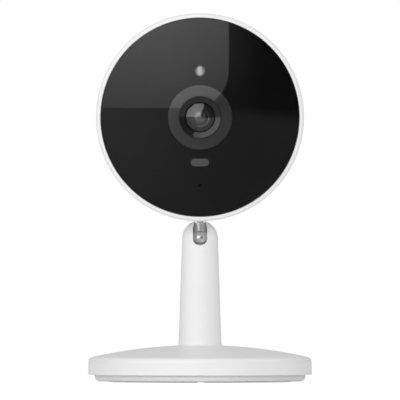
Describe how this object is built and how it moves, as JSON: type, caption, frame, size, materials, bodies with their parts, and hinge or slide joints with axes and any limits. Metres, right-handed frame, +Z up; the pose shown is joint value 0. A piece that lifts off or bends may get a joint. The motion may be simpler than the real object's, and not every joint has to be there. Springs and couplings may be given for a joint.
{
  "type": "indoor security camera",
  "caption": "Round white camera head with a black window on a slotted ball-joint neck and a domed base with a twist-off wall plate.",
  "frame": {"origin": "under the middle of the base, on the surface it stands on", "axes": "+Z up along the neck, the window faces -Y, +X to the right of someone facing the window"},
  "size_m": [0.0664, 0.0664, 0.109],
  "materials": {
    "white_abs": "fine satin, moulded",
    "grey_rubber": "soft matt",
    "zinc_steel": "zinc plated",
    "chrome_steel": "polished plating",
    "acetal": "natural, smooth",
    "spring_steel": "oiled, dark",
    "brass": "turned",
    "clear_acrylic": "polished, clear",
    "black_tape": "matt",
    "black_pc": "satin black",
    "grey_pc": "satin dark grey",
    "lens_glass": "coated, polished",
    "filter_glass": "coated, polished",
    "copper": "enamelled wire",
    "chip_epoxy": "moulded epoxy",
    "board_green": "solder resist",
    "clear_epoxy": "moulded, clear",
    "diffuser_pc": "milky grey",
    "tin_steel": "tinned",
    "soft_gasket": "foam",
    "thermal_silicone": "soft, tacky",
    "aluminium": "plain sheet",
    "amber_film": "clear amber film",
    "wire_cover": "smooth",
    "cone_film": "thin film"
  },
  "bodies": {
    "wall_plate": {"wall_plate": "white_abs", "foot_pad": "grey_rubber"},
    "stand": {"base_shell": "white_abs", "base_weight": "zinc_steel", "weight_screws": "zinc_steel", "neck": "white_abs", "neck_nut": "acetal", "tension_rod": "acetal", "disc_springs": "spring_steel", "ball_seat": "acetal"},
    "ball": {"ball_stud": "chrome_steel", "stud_washer": "zinc_steel", "stud_clip": "spring_steel"},
    "head": {"housing": "white_abs", "stud_bush": "brass", "front_window": "clear_acrylic", "window_tape": "black_tape", "front_frame": "black_pc", "lens_hood": "grey_pc", "lens_barrel": "black_pc", "front_lens": "lens_glass", "aperture_stop": "black_pc", "inner_lenses": "lens_glass", "lens_holder": "black_pc", "holder_screws": "zinc_steel", "filter_coil": "copper", "image_sensor": "chip_epoxy", "led_board": "board_green", "ir_led": "clear_epoxy", "status_led": "clear_epoxy", "light_pipe": "diffuser_pc", "microphone": "tin_steel", "mic_gasket": "soft_gasket", "main_board": "board_green", "board_screws": "zinc_steel", "board_chips": "chip_epoxy", "radio_can": "tin_steel", "thermal_pad": "thermal_silicone", "heat_spreader": "aluminium", "board_flex": "amber_film", "speaker": "zinc_steel", "speaker_cone": "cone_film", "speaker_gasket": "soft_gasket", "speaker_lead": "wire_cover", "power_inlet": "tin_steel", "card_socket": "tin_steel", "reset_switch": "chip_epoxy", "antenna": "amber_film"},
    "filter": {"filter_slider": "black_pc", "ir_cut_glass": "filter_glass", "clear_glass": "lens_glass"},
    "reset": {"reset_button": "white_abs"}
  },
  "joints": [
    {"name": "twist_lock", "type": "hinge", "parent": "wall_plate", "child": "stand", "pos_m": [0, 0, 0], "axis": [0, 0, 1], "range_deg": [0, 28]},
    {"name": "tilt", "type": "hinge", "parent": "stand", "child": "ball", "pos_m": [0, 0, 0.04245], "axis": [1, 0, 0], "range_deg": [-18, 75]},
    {"name": "pan", "type": "hinge", "parent": "ball", "child": "head", "pos_m": [0, 0, 0.0476], "axis": [0, 0, 1], "continuous": true},
    {"name": "filter_slide", "type": "slide", "parent": "head", "child": "filter", "axis": [-1, 0, 0], "range_m": [0, 0.006]},
    {"name": "reset_press", "type": "slide", "parent": "head", "child": "reset", "axis": [0, -1, 0], "range_m": [0, 0.0004], "stiffness_N_per_m": 600, "springref_m": -0.001}
  ]
}
